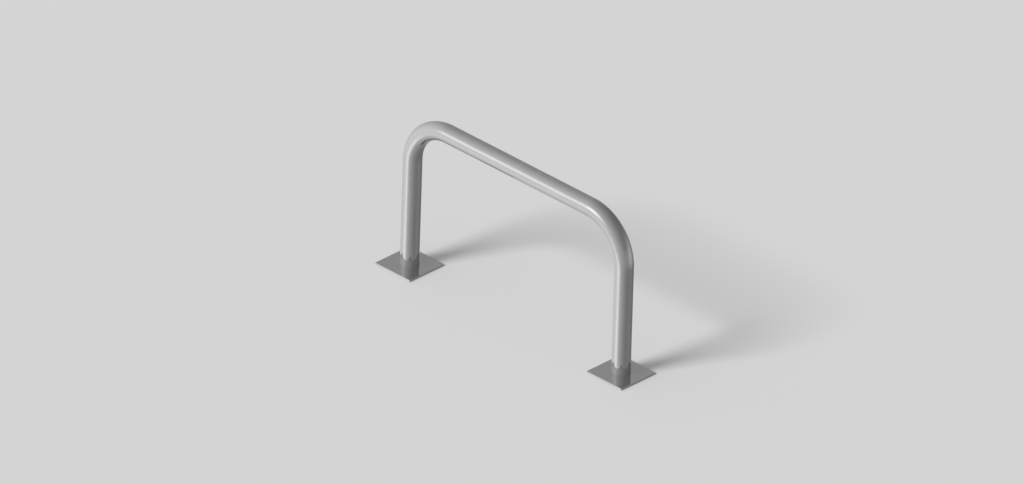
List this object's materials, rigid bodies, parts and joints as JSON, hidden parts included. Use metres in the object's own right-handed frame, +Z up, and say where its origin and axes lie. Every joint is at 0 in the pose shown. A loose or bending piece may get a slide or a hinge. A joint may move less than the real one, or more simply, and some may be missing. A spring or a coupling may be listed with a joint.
{
  "type": "hoop bike rack",
  "caption": "Polished steel hoop for locking cycles, bent from a round tube, on square bolt-down feet hidden by sliding cover plates.",
  "frame": {"origin": "on the ground, midway between the two legs", "axes": "+X along the hoop from the left leg to the right leg, +Y across the hoop, +Z up"},
  "size_m": [1.3438, 0.19, 0.705],
  "materials": {
    "polished_tube": "polished",
    "polished_cover": "polished",
    "flange_steel": "satin",
    "weld_bead": "satin",
    "pad_rubber": "matte"
  },
  "bodies": {
    "rack": {"hoop_tube": "polished_tube", "left_foot_flange": "flange_steel", "left_upper_weld": "weld_bead", "left_lower_weld": "weld_bead", "left_cover_pads": "pad_rubber", "right_foot_flange": "flange_steel", "right_upper_weld": "weld_bead", "right_lower_weld": "weld_bead", "right_cover_pads": "pad_rubber"},
    "left_cover": {"left_foot_cover": "polished_cover"},
    "right_cover": {"right_foot_cover": "polished_cover"}
  },
  "joints": [
    {"name": "left_cover_slide", "type": "slide", "parent": "rack", "child": "left_cover", "axis": [0, 0, 1], "range_m": [0, 0.465]},
    {"name": "right_cover_slide", "type": "slide", "parent": "rack", "child": "right_cover", "axis": [0, 0, 1], "range_m": [0, 0.465]}
  ]
}
